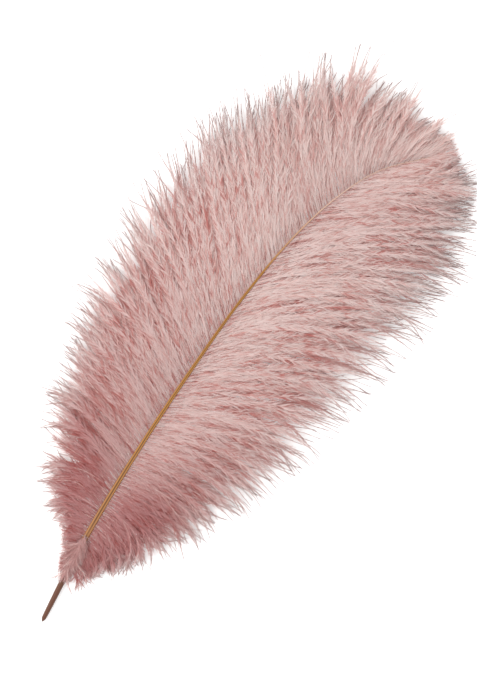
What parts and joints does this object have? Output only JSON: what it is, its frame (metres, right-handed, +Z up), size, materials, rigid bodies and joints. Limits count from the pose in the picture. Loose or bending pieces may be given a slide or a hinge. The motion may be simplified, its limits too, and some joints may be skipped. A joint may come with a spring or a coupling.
{
  "type": "ostrich feather",
  "caption": "Dyed ostrich plume with a bare quill, a tapering grooved shaft, and full vanes of long soft barbs that gather into locks, arch up and droop to the surface.",
  "frame": {"origin": "centre of the footprint, on the surface that the feather lies on", "axes": "+X along the feather from the quill end to the tip, +Y towards the left vane, +Z up"},
  "size_m": [0.428, 0.2127, 0.0233],
  "materials": {
    "barbs": "soft matte down, dusty rose",
    "quill": "smooth brown horn, satin"
  },
  "bodies": {
    "root": {"feather": "barbs"}
  },
  "joints": []
}
